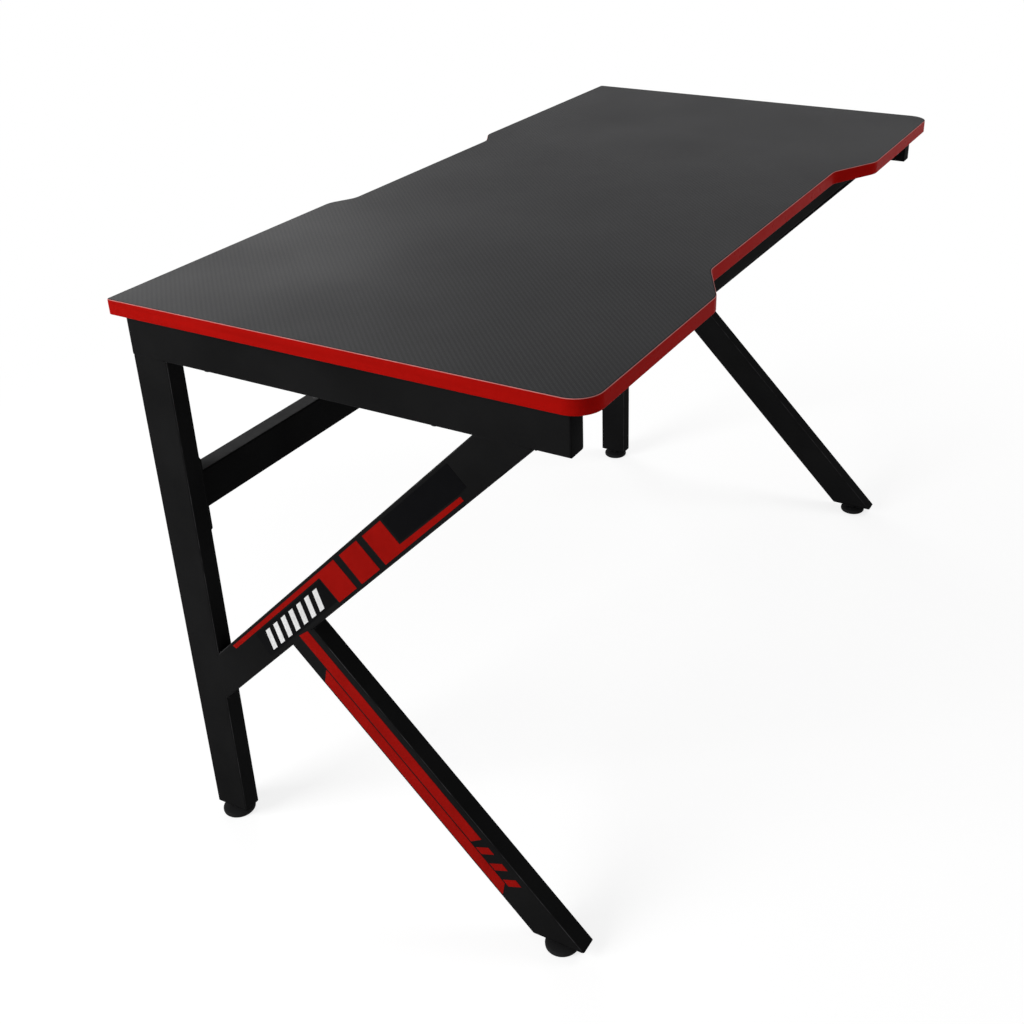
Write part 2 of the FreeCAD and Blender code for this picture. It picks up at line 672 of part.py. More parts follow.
# Checks, then one file per node
doc.recompute()
for piece in doc.Objects:
    if {"Invalid", "Error"} & set(piece.State):
        raise RuntimeError(f"{piece.Label} failed: {piece.State}")
for piece in nodes:
    if piece.Shape.isNull() or not piece.Shape.isValid():
        raise RuntimeError(f"{piece.Label} has no valid shape")
os.makedirs("parts", exist_ok=True)
for piece in nodes:
    piece.Shape.exportStep(os.path.join("parts", f"{piece.Label}.step"))
print(len(nodes), "nodes")
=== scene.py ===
"""Dresses the gaming desk: finishes for its solids, welds, caps, feet and fasteners, and a plain stage."""
import json
import math
import random
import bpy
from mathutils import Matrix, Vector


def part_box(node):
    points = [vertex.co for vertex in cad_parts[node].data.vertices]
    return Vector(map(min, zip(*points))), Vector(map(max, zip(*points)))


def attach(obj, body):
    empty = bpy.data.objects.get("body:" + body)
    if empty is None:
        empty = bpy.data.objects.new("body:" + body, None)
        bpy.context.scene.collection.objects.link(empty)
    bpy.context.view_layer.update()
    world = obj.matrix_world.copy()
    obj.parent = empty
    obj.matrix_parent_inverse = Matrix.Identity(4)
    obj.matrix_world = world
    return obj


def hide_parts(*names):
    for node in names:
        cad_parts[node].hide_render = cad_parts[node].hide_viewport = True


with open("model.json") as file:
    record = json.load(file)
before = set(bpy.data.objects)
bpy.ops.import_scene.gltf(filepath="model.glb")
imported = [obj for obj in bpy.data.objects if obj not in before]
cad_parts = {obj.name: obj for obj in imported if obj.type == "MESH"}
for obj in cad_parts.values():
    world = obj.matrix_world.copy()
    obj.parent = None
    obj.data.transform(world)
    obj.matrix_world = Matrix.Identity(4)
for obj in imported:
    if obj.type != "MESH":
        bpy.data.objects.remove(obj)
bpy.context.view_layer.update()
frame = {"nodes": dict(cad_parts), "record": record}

from types import SimpleNamespace

import bmesh
import bpy
from bpy.props import FloatProperty, FloatVectorProperty, IntProperty, PointerProperty
from mathutils import Matrix, Vector

bl_info = {
    "name": "Gaming Desk",
    "version": (1, 0, 0),
    "blender": (4, 5, 0),
    "location": "View3D > Sidebar > Desk",
    "description": "Dresses a gaming desk and sets its stage",
    "category": "Object",
}

SIDES = ("left", "right")
ENDS = ("front", "back")
END_FRAME_TUBES = ("top_rail", "back_leg", "strut", "front_leg")
DESKTOP_LAYERS = ("board", "top_film", "under_film", "edge_band")
BEAM_OF = {"crossbar": "rear_crossbar", "front_rail": "front_rail"}
FRAME_BODY = "desk_frame"
SLOT_OF = {row["node"]: row["material_slot"] for row in frame["record"]["subparts"]}
UP = Vector((0, 0, 1))
SIDEWAYS = Vector((1, 0, 0))
WHITE = (1.0, 1.0, 1.0, 1.0)

# Distances at which points count as one or as level, and the angle past which an edge counts as sharp
MERGE_DISTANCE = 1e-6
LEVEL_DISTANCE = 1e-5
SHARP_DEGREES = 32.0

# Counts of sides, steps and segments
HEXAGON_SIDES = 6
ROUND_SIDES = 24
HEXAGON_CUTS = ROUND_SIDES // HEXAGON_SIDES - 1
WASHER_STEPS = 48
PAD_STEPS = 64
THREAD_STEPS = 20
THREAD_SPARE_TURNS = 2
BEAD_SIDES = 10
BEAD_LEAST_STEPS = 3
CORNER_SEGMENTS = 4
SOFT_SEGMENTS = 2

# Shares of a piece's own size
BEAD_END_SHARE = 0.5
BEAD_WAIST_SHARE = 0.86
BEAD_UNEVEN_SHARE = 0.05
WELD_TRIM_SHARE = 1.5
GROUND_SOFT_SHARE = 0.2
SOLE_INNER_SHARE = 0.66
SOLE_OUTER_SHARE = 0.70
CROWN_SHARE = 0.52
ROOT_SHARE = 0.2
CREST_SHARE = 0.5

# Looks of the finishes: a noise is its cells to the metre, its detail and how it is drawn out along the axes,
# a bump is its strength and its depth in metres, and a pair of shares is the two ends of a range
NOISE_SHARES = (0.3, 0.7)
TWILL_REPEAT = 4.0
TWILL_OVER = 2.0
FILM_LOOK = SimpleNamespace(
    gloss_share=0.050,
    fibres=(900.0, 1.0, (0.12, 3.0, 1.0)),
    cross_fibres=(900.0, 1.0, (3.0, 0.12, 1.0)),
    fibre_tint_shares=(0.86, 1.14),
    # The sunk shares darken the dips between the tows: painted shade
    valley_shade_shares=(0.0, 0.65),
    valley_shade_tint_share=0.50,
    cloud=(2.3, 3.0),
    cloud_tint_shares=(0.94, 1.06),
    smudges=(5.0, 4.0),
    smudge_shares=(0.35, 0.7),
    smudge_rough_shares=(0.0, 0.06),
    rough_shares=(0.56, 0.46),
    weave_bump=(0.12, 0.00012),
)
BAND_LOOK = SimpleNamespace(
    gloss_share=0.005,
    streaks=(160.0, 3.0, (0.06, 0.06, 1.0)),
    streak_tint_shares=(0.93, 1.07),
    # The rim shares paint a pale highlight on the upward-facing part of the band's rounded upper edge
    highlight_facing_shares=(0.15, 0.4),
    ragged_highlight=(55.0, 3.0),
    ragged_highlight_shares=(0.75, 1.0),
    lap_facing_shares=(0.92, 0.98),
    dull_spots=(90.0, 3.0),
    rough_shares=(0.26, 0.36),
    peel=(420.0, 2.0),
    peel_bump=(0.06, 0.0001),
)
UNDER_FILM_LOOK = SimpleNamespace(
    gloss_share=0.10,
    cloud=(7.0, 4.0),
    tint_shares=(0.8, 1.25),
    grain=(1100.0, 2.0),
    rough_shares=(0.6, 0.75),
    grain_bump=(0.25, 0.00008),
)
PAINT_LOOK = SimpleNamespace(
    gloss_share=0.002,
    cloud=(9.0, 4.0),
    cloud_tint_shares=(0.82, 1.2),
    flecks=(1900.0, 1.0),
    fleck_shares=(0.66, 0.78),
    fleck_blend_shares=(0.0, 0.5),
    fleck_tint_share=2.2,
    # The slant shares pale the tubes' long edges: partly wear, partly a painted highlight
    wear_and_highlight_slant_shares=(0.93, 1.0),
    patches=(38.0, 4.0),
    patch_shares=(0.38, 0.62),
    patch_blend_shares=(0.1, 0.9),
    # The facing shares pale the level, upward faces: partly a dusting, partly a painted sheen
    dust_and_sheen_facing_shares=(0.85, 0.98),
    dust_and_sheen=(75.0, 4.0),
    dust_and_sheen_blend_shares=(0.75, 1.0),
    rubs=(14.0, 5.0, (1.0, 1.0, 0.3)),
    rub_shares=(0.35, 0.7),
    rub_rough_shares=(0.0, 0.08),
    peel=(1150.0, 2.0),
    rough_shares=(0.48, 0.60),
    waves=(160.0, 1.0),
    wave_bump=(0.05, 0.0002),
    peel_bump=(0.22, 0.00009),
)
PLASTIC_LOOK = SimpleNamespace(
    gloss_shares={"black_plastic": 0.006, "foot_plastic": 0.02},
    cloud=(60.0, 3.0),
    tint_shares=(0.8, 1.3),
    grain=(2400.0, 2.0),
    rough_shares=(0.5, 0.66),
    grain_bump=(0.3, 0.00008),
)
VINYL_LOOK = SimpleNamespace(
    gloss_share=0.008,
    ink=(45.0, 4.0),
    ink_tint_shares=(0.92, 1.06),
    dots=(1400.0, 1.0),
    rough_shares=(0.38, 0.48),
    peel=(260.0, 2.0),
    peel_bump=(0.06, 0.0001),
)
METAL_LOOK = SimpleNamespace(
    metal_shares={"black_zinc": 0.55, "bright_zinc": 1.0, "brass": 1.0},
    drawn_shares={"black_zinc": (1.0, 1.0, 0.1), "bright_zinc": (1.0, 1.0, 0.1), "brass": (0.2, 1.0, 1.0)},
    cloud=(220.0, 3.0),
    tint_shares=(0.8, 1.15),
    lines=(2600.0, 2.0),
    rough_shares=(0.26, 0.44),
    line_bump=(0.12, 0.00004),
)
BOARD_LOOK = SimpleNamespace(
    gloss_share=0.2,
    chip_cells=420.0,
    rough_shares=(0.75, 0.9),
    chip_bump=(0.3, 0.0002),
)
FLOOR_ROUGH_SHARE = 0.9

# Lamps by the setting of their power: where each stands, what it is aimed at and how wide it is, in metres
LAMPS = {
    "key": ((-2.6, 1.7, 1.6), (-0.2, 0.0, 0.4), 1.5),
    "back": ((2.1, 3.2, 1.7), (0.0, 0.0, 0.7), 1.8),
    "fill": ((1.6, -1.9, 3.0), (0.2, 0.0, 0.4), 1.6),
}


def length(name, description, default):
    """A length in metres that a user may change."""
    return FloatProperty(name=name, description=description, default=default, unit="LENGTH", precision=5)


def angle(name, description, degrees):
    """An angle that a user may change."""
    return FloatProperty(name=name, description=description, default=math.radians(degrees), subtype="ANGLE")


def colour(name, description, default):
    """A colour that a user may change."""
    return FloatVectorProperty(
        name=name, description=description, default=default, subtype="COLOR", size=3, min=0, max=1)


class DeskSizes(bpy.types.PropertyGroup):
    """Sizes of the details that the solids leave plain, and the seed of the welds."""

    tow_width: length("Tow width", "Width of one tow of the desktop film's weave", 0.0018)
    tube_corner: length("Tube corner", "Rounding of the tubes' long edges", 0.0025)
    bead_width: length("Weld bead", "Width of a weld bead", 0.0040)
    bead_pitch: length("Weld ripple", "Distance between the ripples of a weld bead", 0.0022)
    ground_width: length("Ground weld", "Width of a weld that is ground flush", 0.0060)
    ground_depth: length("Ground weld depth", "Depth of a weld that is ground flush", 0.0028)
    ground_sink: length("Ground weld sink", "How far a ground weld lies under the tube's face", 0.00003)
    cap_flange: length("Cap flange", "Thickness of a rail cap's outer plate", 0.0020)
    cap_round: length("Cap rounding", "Rounding of a rail cap's outer edge", 0.0009)
    stem_gap: length("Stem gap", "How far a cap's stem stays inside the tube's outer face", 0.0017)
    stem_lead: length("Stem lead", "Chamfer at the end of a cap's stem", 0.0012)
    sole_rise: length("Sole rise", "Height of the hollow under a foot pad", 0.0008)
    rim_low: length("Lower rim rounding", "Rounding of a foot pad's lower edge", 0.0024)
    rim_high: length("Upper rim rounding", "Rounding of a foot pad's upper edge", 0.0024)
    pad_height: length("Pad height", "Height of a foot pad's disc", 0.0080)
    pad_fall: length("Pad fall", "How far a foot pad's top falls towards its rim", 0.0014)
    boss_width: length("Boss width", "Width of a foot's hexagonal boss across its flats", 0.0130)
    boss_round: length("Boss rounding", "Rounding of the boss's edges", 0.0005)
    socket_floor: length("Socket floor", "Height of the floor of the stud's socket", 0.0030)
    socket_gap: length("Socket gap", "Gap between the stud and its socket", 0.00005)
    thread_pitch: length("Thread pitch", "Pitch of the feet's thread", 0.00125)
    thread_depth: length("Thread depth", "Depth of the feet's thread", 0.0007)
    head_height: length("Bolt head height", "Height of a bolt's head", 0.0033)
    head_chamfer: length("Bolt chamfer", "Chamfer of a bolt's head and end", 0.0005)
    shank_width: length("Bolt diameter", "Diameter of a bolt's shank", 0.0060)
    key_width: length("Key width", "Width of a bolt's socket across its flats", 0.0040)
    key_depth: length("Key depth", "Depth of a bolt's socket", 0.0020)
    washer_bore: length("Washer bore", "Diameter of a washer's hole", 0.0070)
    washer_round: length("Washer rounding", "Rounding of a washer's edges", 0.00025)
    weld_seed: IntProperty(name="Weld seed", description="Seed of the weld beads' unevenness", default=7)


class DeskColours(bpy.types.PropertyGroup):
    """Colours of the desk's finishes."""

    tow_long: colour("Tows along", "Film tows that run along the desk", (0.0312, 0.0312, 0.0328))
    tow_cross: colour("Tows across", "Film tows that run across the desk", (0.0224, 0.0224, 0.0238))
    band: colour("Edge band", "Red edge band", (0.370, 0.0046, 0.0030))
    # The pale band rim is a painted highlight on the band's rounded upper edge, not a colour of the plastic
    band_rim_highlight: colour("Band rim", "Pale trimmed rim of the edge band", (0.700, 0.280, 0.265))
    under_film: colour("Under film", "Film under the desktop", (0.018, 0.018, 0.019))
    paint: colour("Powder coat", "Black powder coat of the frame", (0.0099, 0.0099, 0.0101))
    # Paler long edges: partly rubbed wear, partly a painted highlight
    wear_and_highlight_paint: colour("Worn paint", "Powder coat where its edges are rubbed", (0.070, 0.070, 0.072))
    # Paler level faces: partly a dusting, partly a painted sheen
    dusty_and_sheen_paint: colour("Dusty paint", "Powder coat under the dust on level faces", (0.065, 0.065, 0.066))
    plastic: colour("Plastic", "Black plastic of caps and plugs", (0.0066, 0.0066, 0.0068))
    foot: colour("Foot", "Black plastic of the foot pads", (0.0170, 0.0170, 0.0175))
    red_print: colour("Red print", "Red of the vinyl", (0.290, 0.0050, 0.0032))
    black_print: colour("Black print", "Black of the vinyl", (0.0046, 0.0046, 0.0052))
    white_print: colour("White print", "White of the vinyl", (0.760, 0.760, 0.760))
    black_zinc: colour("Black zinc", "Black zinc of the bolts", (0.018, 0.018, 0.020))
    bright_zinc: colour("Bright zinc", "Bright zinc of studs and nuts", (0.560, 0.560, 0.540))
    brass: colour("Brass", "Threaded inserts", (0.600, 0.430, 0.190))
    chip_pale: colour("Pale chips", "Pale chips of the board", (0.500, 0.370, 0.240))
    chip_dark: colour("Dark chips", "Dark chips of the board", (0.270, 0.180, 0.105))


class StageSettings(bpy.types.PropertyGroup):
    """The camera, the floor, the sky and the lamps."""

    camera_place: FloatVectorProperty(
        name="Camera place", description="Where the camera stands", default=(-1.517, -0.783, 1.242),
        subtype="XYZ", unit="LENGTH")
    heading: angle("Heading", "Direction of view, from the desk's length towards its back", 28.61)
    tilt: angle("Tilt", "How far the camera looks down", 27.80)
    roll: angle("Roll", "Turn of the camera about its view", 1.01)
    lens: FloatProperty(name="Lens", description="Focal length in millimetres", default=44.86)
    sensor: FloatProperty(name="Sensor", description="Sensor width in millimetres", default=36.0)
    shift: FloatVectorProperty(
        name="Shift", description="Shift of the view, in widths of the image", default=(-0.06, -0.06), size=2)
    floor_size: length("Floor size", "Half the width of the floor", 30.0)
    floor_clear: length("Clear floor", "Distance at which the floor turns plain white", 1.8)
    floor_near: length("Near floor", "Distance up to which the floor shows its shadow in full", 0.8)
    floor: colour("Floor", "Pale floor", (0.90, 0.90, 0.90))
    glow: FloatProperty(
        name="Floor glow", description="Share of plain white in the floor near the desk", default=0.60,
        subtype="FACTOR", min=0, max=1)
    lift: FloatProperty(
        name="Floor lift", description="Brightness that the floor shows beside its light and shade",
        default=0.44)
    sky: FloatProperty(name="Sky", description="Strength of the even light from all round", default=0.26)
    key: FloatProperty(name="Key lamp", description="Power of the lamp at the left end", default=66.0)
    back: FloatProperty(name="Back lamp", description="Power of the lamp behind the desk", default=30.0)
    fill: FloatProperty(name="Fill lamp", description="Power of the lamp in front of the desk", default=26.0)


# Meshes
def add_shape(whole, place, build, *sizes):
    """Runs a builder on a new bmesh, turns its faces outwards, and adds it to another, placed by a matrix."""
    shape = bmesh.new()
    build(shape, *sizes)
    bmesh.ops.recalc_face_normals(shape, faces=shape.faces)
    mesh = bpy.data.meshes.new("shape")
    shape.to_mesh(mesh)
    shape.free()
    mesh.transform(place)
    whole.from_mesh(mesh)
    bpy.data.meshes.remove(mesh)


def add_piece(name, whole, finish, body, stands_for=()):
    """Makes a piece of a bmesh, gives it its finish and its body, and hides the nodes that it stands for."""
    if not whole.faces:
        raise RuntimeError(f"{name} has no faces")
    mesh = bpy.data.meshes.new(name)
    whole.to_mesh(mesh)
    whole.free()
    mesh.shade_smooth()
    mesh.set_sharp_from_angle(angle=math.radians(SHARP_DEGREES))
    mesh.materials.append(finish)
    piece = bpy.data.objects.new(name, mesh)
    bpy.context.scene.collection.objects.link(piece)
    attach(piece, body)
    if stands_for:
        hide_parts(*stands_for)


def placing(start, end, outward=None):
    """The matrix that lays a shape built along Z from one point to another, with its X outwards."""
    run = end - start
    if outward is None:
        outward = run.orthogonal().normalized()
    along = run.normalized()
    turn = Matrix((outward, along.cross(outward), along)).transposed().to_4x4()
    return Matrix.Translation(start) @ turn


def loose_parts(node):
    """The lowest and highest corners of each separate solid of a node."""
    shape = bmesh.new()
    shape.from_mesh(frame["nodes"][node].data)
    bmesh.ops.remove_doubles(shape, verts=shape.verts, dist=MERGE_DISTANCE)
    waiting = set(shape.verts)
    parts = []
    while waiting:
        front = [waiting.pop()]
        found = list(front)
        while front:
            vert = front.pop()
            near = {edge.other_vert(vert) for edge in vert.link_edges} & waiting
            waiting -= near
            front.extend(near)
            found.extend(near)
        places = [vert.co for vert in found]
        parts.append(tuple(
            Vector([pick(place[axis] for place in places) for axis in range(3)]) for pick in (min, max)))
    shape.free()
    return sorted(parts, key=lambda corners: tuple(corners[0]))


def add_box(shape, middle, size):
    """Adds a box about a point, and returns its corners."""
    place = Matrix.Translation(middle) @ Matrix.Diagonal((*size, 1))
    return bmesh.ops.create_cube(shape, size=1, matrix=place)["verts"]


def soften(shape, edges, width, segments):
    """Rounds edges."""
    bmesh.ops.bevel(
        shape, geom=edges, offset=width, offset_type="OFFSET", segments=segments, profile=0.5, affect="EDGES",
        material=-1, clamp_overlap=True)


def pull(shape, rim, lift, spread=1.0):
    """Extrudes a rim along Z and widens or narrows it about the axis. Returns the new rim."""
    made = bmesh.ops.extrude_edge_only(shape, edges=rim)["geom"]
    points = {item for item in made if isinstance(item, bmesh.types.BMVert)}
    bmesh.ops.scale(shape, vec=(spread, spread, 1), verts=list(points))
    bmesh.ops.translate(shape, vec=(0, 0, lift), verts=list(points))
    return [item for item in made if isinstance(item, bmesh.types.BMEdge) and set(item.verts) <= points]


def circle(shape, radius, height, sides=ROUND_SIDES):
    """A ring of edges about the axis."""
    made = bmesh.ops.create_circle(
        shape, segments=sides, radius=radius, matrix=Matrix.Translation((0, 0, height)))
    return list(dict.fromkeys(edge for vert in made["verts"] for edge in vert.link_edges))


def hexagon(shape, width, height):
    """A six-sided ring of edges, cut into as many edges as a round one has."""
    others = set(shape.edges)
    rim = circle(shape, width / math.sqrt(3), height, HEXAGON_SIDES)
    bmesh.ops.subdivide_edges(shape, edges=rim, cuts=HEXAGON_CUTS)
    return [edge for edge in shape.edges if edge not in others]


def profile_line(shape, points):
    """A line through points, each a radius and a height, as geometry to spin."""
    verts = [shape.verts.new((radius, 0, height)) for radius, height in points]
    return verts + [shape.edges.new(pair) for pair in zip(verts, verts[1:])]


def spin_profile(shape, points, steps):
    """Turns a line of points once round the axis."""
    bmesh.ops.spin(
        shape, geom=profile_line(shape, points), cent=(0, 0, 0), axis=UP, dvec=(0, 0, 0), angle=2 * math.pi,
        steps=steps, use_merge=True, use_duplicate=False)
    bmesh.ops.remove_doubles(shape, verts=shape.verts, dist=MERGE_DISTANCE)


def round_rings(shape, rings, segments):
    """Rounds rings of edges, each given by a radius, a height and a width of rounding."""
    for radius, height, width in rings:
        chosen = [
            edge for edge in shape.edges
            if all(abs(vert.co.z - height) < MERGE_DISTANCE
                   and abs(vert.co.xy.length - radius) < MERGE_DISTANCE for vert in edge.verts)
        ]
        soften(shape, chosen, width, segments)


# Finishes
def feed(tree, node, values):
    """Links outputs to a node's sockets, or sets the sockets' own values."""
    for socket, value in values.items():
        if isinstance(value, bpy.types.NodeSocket):
            tree.links.new(value, node.inputs[socket])
        else:
            node.inputs[socket].default_value = value


def add_node(tree, kind, values, **settings):
    """A new node with its settings and the values of its sockets."""
    made = tree.nodes.new(kind)
    for setting, value in settings.items():
        setattr(made, setting, value)
    feed(tree, made, values)
    return made


class Finish:
    """A material in the making, with its shader and the piece's own coordinates."""

    def __init__(self, name, values):
        self.material = bpy.data.materials.new(name)
        self.material.use_nodes = True
        self.tree = self.material.node_tree
        self.shader = self.tree.nodes["Principled BSDF"]
        coordinates = self.add("ShaderNodeTexCoord", {}).outputs
        self.place, self.facing = coordinates["Object"], coordinates["Normal"]
        feed(self.tree, self.shader, values)

    def add(self, kind, values, **settings):
        """A new node in the material."""
        return add_node(self.tree, kind, values, **settings)

    def reckon(self, operation, *values):
        """The result of a sum on values."""
        return self.add("ShaderNodeMath", dict(enumerate(values)), operation=operation).outputs[0]

    def split(self, vector):
        """The X, Y and Z of a vector."""
        return self.add("ShaderNodeSeparateXYZ", {"Vector": vector}).outputs

    def noise(self, cells, detail, stretch=None):
        """Noise of so many cells to the metre, drawn out along the axes where stretch is under one."""
        place = self.place
        if stretch:
            place = self.add("ShaderNodeMapping", {"Vector": place, "Scale": stretch}).outputs[0]
        return self.add("ShaderNodeTexNoise", {"Vector": place, "Scale": cells, "Detail": detail}).outputs[0]

    def fit(self, value, span=(0.0, 1.0), ends=(0.0, 1.0), interpolation="LINEAR"):
        """A value taken from one range to another, and held at its ends."""
        values = dict(enumerate((value, *span, *ends)))
        return self.add("ShaderNodeMapRange", values, interpolation_type=interpolation).outputs[0]

    def spread(self, noise, ends=(0.0, 1.0)):
        """Noise drawn out over a whole range."""
        return self.fit(noise, NOISE_SHARES, ends)

    def blend(self, share, first, second):
        """A colour between two, by a share."""
        made = self.add("ShaderNodeMix", {0: share}, data_type="RGBA")
        colours = [place for place, socket in enumerate(made.inputs) if socket.type == "RGBA"]
        feed(self.tree, made, dict(zip(colours, (first, second))))
        return next(socket for socket in made.outputs if socket.type == "RGBA")

    def mottle(self, share, shade, tint_shares):
        """A colour between a darker and a lighter tint of itself, by a share."""
        return self.blend(share, *(tint(shade, factor) for factor in tint_shares))

    def bump(self, height, strength, distance, under=None):
        """A bumped normal, on top of another one where that is given."""
        values = {"Strength": strength, "Distance": distance, "Height": height}
        if under:
            values["Normal"] = under
        return self.add("ShaderNodeBump", values).outputs[0]

    def wear(self, base, roughness, normal):
        """Links what varies over the surface to the shader, and returns the material."""
        feed(self.tree, self.shader, {"Base Color": base, "Roughness": roughness, "Normal": normal})
        return self.material


def tint(shade, factor=1.0):
    """A colour made lighter or darker, for a socket."""
    return (*(min(1.0, channel * factor) for channel in shade), 1.0)


def carbon_film(sizes, colours):
    """Satin film with a two-over-two twill: tows along the desk and across it take turns on top, with painted
    shade in the dips between them.
    """
    look = FILM_LOOK
    film = Finish("carbon_film", {"Specular IOR Level": look.gloss_share})
    axes = film.split(film.place)
    along, across = [film.reckon("DIVIDE", axes[axis], sizes.tow_width) for axis in ("X", "Y")]
    cells = film.reckon("SUBTRACT", film.reckon("FLOOR", along), film.reckon("FLOOR", across))
    lengthwise = film.reckon("LESS_THAN", film.reckon("FLOORED_MODULO", cells, TWILL_REPEAT), TWILL_OVER)
    crosswise = film.reckon("SUBTRACT", 1.0, lengthwise)
    humps = []
    for place, on_top in ((across, lengthwise), (along, crosswise)):
        arch = film.reckon("SINE", film.reckon("MULTIPLY", film.reckon("FRACT", place), math.pi))
        humps.append(film.reckon("MULTIPLY", arch, on_top))
    hump = film.reckon("ADD", *humps)
    fibres = film.spread(film.noise(*look.fibres))
    cross_fibres = film.spread(film.noise(*look.cross_fibres))
    long_tow = film.mottle(fibres, colours.tow_long, look.fibre_tint_shares)
    cross_tow = film.mottle(cross_fibres, colours.tow_cross, look.fibre_tint_shares)
    weave = film.blend(lengthwise, cross_tow, long_tow)
    # The dips between the tows are darkened towards a darker tint: painted shade in the weave's hollows
    valley_shade = tint(colours.tow_cross, look.valley_shade_tint_share)
    sunk = film.blend(film.fit(hump, look.valley_shade_shares), valley_shade, weave)
    cloud = film.spread(film.noise(*look.cloud), look.cloud_tint_shares)
    base = film.add("ShaderNodeVectorMath", {0: sunk, 1: cloud}, operation="MULTIPLY").outputs[0]
    smudge = film.fit(film.noise(*look.smudges), look.smudge_shares, look.smudge_rough_shares)
    roughness = film.reckon("ADD", film.fit(hump, ends=look.rough_shares), smudge)
    return film.wear(base, roughness, film.bump(hump, *look.weave_bump))


def edge_band(colours):
    """Satin red plastic with a painted highlight along its rounded upper edge and the film lapped over its
    top.
    """
    look = BAND_LOOK
    band = Finish("edge_band_red", {"Specular IOR Level": look.gloss_share})
    streaks = band.spread(band.noise(*look.streaks))
    flat = band.mottle(streaks, colours.band, look.streak_tint_shares)
    # Where the rounded upper edge faces upwards it is painted pale, broken up by noise: a painted highlight
    upward = band.split(band.facing)["Z"]
    ragged = band.spread(band.noise(*look.ragged_highlight), look.ragged_highlight_shares)
    rim = band.reckon("MULTIPLY", band.fit(upward, look.highlight_facing_shares), ragged)
    side = band.blend(rim, flat, tint(colours.band_rim_highlight))
    base = band.blend(band.fit(upward, look.lap_facing_shares), side, tint(colours.tow_cross))
    roughness = band.spread(band.noise(*look.dull_spots), look.rough_shares)
    return band.wear(base, roughness, band.bump(band.noise(*look.peel), *look.peel_bump))


def matt_film(colours):
    """Plain matt film with a fine leathery grain."""
    look = UNDER_FILM_LOOK
    film = Finish("matt_film", {"Specular IOR Level": look.gloss_share})
    base = film.mottle(film.noise(*look.cloud), colours.under_film, look.tint_shares)
    grain = film.noise(*look.grain)
    return film.wear(base, film.spread(grain, look.rough_shares), film.bump(grain, *look.grain_bump))


def powder_coat(colours):
    """Matt black powder coat: orange peel, flecks, rubbed patches, long edges paler with wear and a painted
    highlight, level faces paler with a dusting and a painted sheen.
    """
    look = PAINT_LOOK
    coat = Finish("powder_coat", {"Specular IOR Level": look.gloss_share})
    cloud = coat.spread(coat.noise(*look.cloud))
    base = coat.mottle(cloud, colours.paint, look.cloud_tint_shares)
    fleck = coat.fit(coat.noise(*look.flecks), look.fleck_shares, look.fleck_blend_shares)
    flecked = coat.blend(fleck, base, tint(colours.paint, look.fleck_tint_share))
    facing = coat.split(coat.facing)
    # The tubes' long edges are painted paler in patches: partly wear, partly a painted highlight
    doubled = coat.reckon("MULTIPLY", coat.reckon("ARCCOSINE", facing["X"]), 2.0)
    slant = coat.reckon("ABSOLUTE", coat.reckon("SINE", doubled))
    patchy = coat.fit(coat.noise(*look.patches), look.patch_shares, look.patch_blend_shares)
    wear_and_highlight = coat.reckon("MULTIPLY", coat.fit(slant, look.wear_and_highlight_slant_shares), patchy)
    edged = coat.blend(wear_and_highlight, flecked, tint(colours.wear_and_highlight_paint))
    # Level, upward faces are painted paler in patches: partly a dusting, partly a painted sheen
    settled = coat.spread(coat.noise(*look.dust_and_sheen), look.dust_and_sheen_blend_shares)
    dust_and_sheen = coat.reckon("MULTIPLY", coat.fit(facing["Z"], look.dust_and_sheen_facing_shares), settled)
    dusted_and_sheened = coat.blend(dust_and_sheen, edged, tint(colours.dusty_and_sheen_paint))
    rubbed = coat.fit(coat.noise(*look.rubs), look.rub_shares, look.rub_rough_shares)
    peel = coat.noise(*look.peel)
    roughness = coat.reckon("SUBTRACT", coat.spread(peel, look.rough_shares), rubbed)
    waves = coat.bump(coat.noise(*look.waves), *look.wave_bump)
    return coat.wear(dusted_and_sheened, roughness, coat.bump(peel, *look.peel_bump, waves))


def moulded_plastic(name, shade):
    """Matt black plastic with a spark-eroded grain."""
    look = PLASTIC_LOOK
    plastic = Finish(name, {"Specular IOR Level": look.gloss_shares[name]})
    base = plastic.mottle(plastic.noise(*look.cloud), shade, look.tint_shares)
    grain = plastic.noise(*look.grain)
    roughness = plastic.spread(grain, look.rough_shares)
    return plastic.wear(base, roughness, plastic.bump(grain, *look.grain_bump))


def printed_vinyl(name, ink):
    """Satin printed vinyl: an even ink with a slight unevenness under a clear laminate."""
    look = VINYL_LOOK
    vinyl = Finish(name, {"Specular IOR Level": look.gloss_share})
    base = vinyl.mottle(vinyl.spread(vinyl.noise(*look.ink)), ink, look.ink_tint_shares)
    roughness = vinyl.spread(vinyl.noise(*look.dots), look.rough_shares)
    return vinyl.wear(base, roughness, vinyl.bump(vinyl.noise(*look.peel), *look.peel_bump))


def plated_metal(name, shade):
    """Plated or bare metal: drawn lines, a cloudy tint and duller patches."""
    look = METAL_LOOK
    metal = Finish(name, {"Metallic": look.metal_shares[name]})
    base = metal.mottle(metal.spread(metal.noise(*look.cloud)), shade, look.tint_shares)
    lines = metal.noise(*look.lines, look.drawn_shares[name])
    return metal.wear(base, metal.spread(lines, look.rough_shares), metal.bump(lines, *look.line_bump))


def chip_board(colours):
    """Pressed chips of wood."""
    look = BOARD_LOOK
    board = Finish("chip_board", {"Specular IOR Level": look.gloss_share})
    cells = board.add("ShaderNodeTexVoronoi", {"Vector": board.place, "Scale": look.chip_cells})
    share = board.add("ShaderNodeSeparateColor", {"Color": cells.outputs["Color"]}).outputs[0]
    base = board.blend(share, tint(colours.chip_dark), tint(colours.chip_pale))
    roughness = board.fit(share, ends=look.rough_shares)
    return board.wear(base, roughness, board.bump(share, *look.chip_bump))


